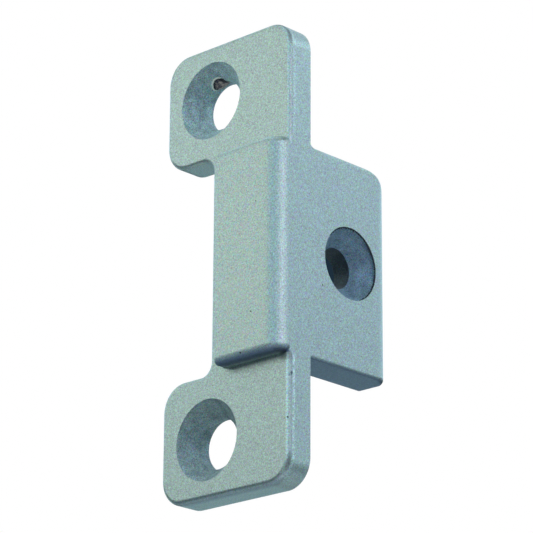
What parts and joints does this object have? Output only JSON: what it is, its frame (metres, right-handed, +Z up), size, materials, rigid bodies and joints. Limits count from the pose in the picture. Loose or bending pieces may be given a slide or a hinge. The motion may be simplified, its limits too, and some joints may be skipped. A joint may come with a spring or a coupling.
{
  "type": "door strike plate",
  "caption": "One-piece cast strike plate for an outside corner of a door post, with a notch and raised pad for the latch bolt",
  "frame": {"origin": "halfway between the two tab screws, on the seat plane at the back of the flange", "axes": "+X from the free edge of the tabs to the outer side of the leg, +Y from the front of the flange into the post, +Z up along the plate"},
  "size_m": [0.0183, 0.0181, 0.0508],
  "materials": {
    "satin_paint": "satin silver grey paint with a fine grain"
  },
  "bodies": {
    "root": {"strike_plate": "satin_paint"}
  },
  "joints": []
}
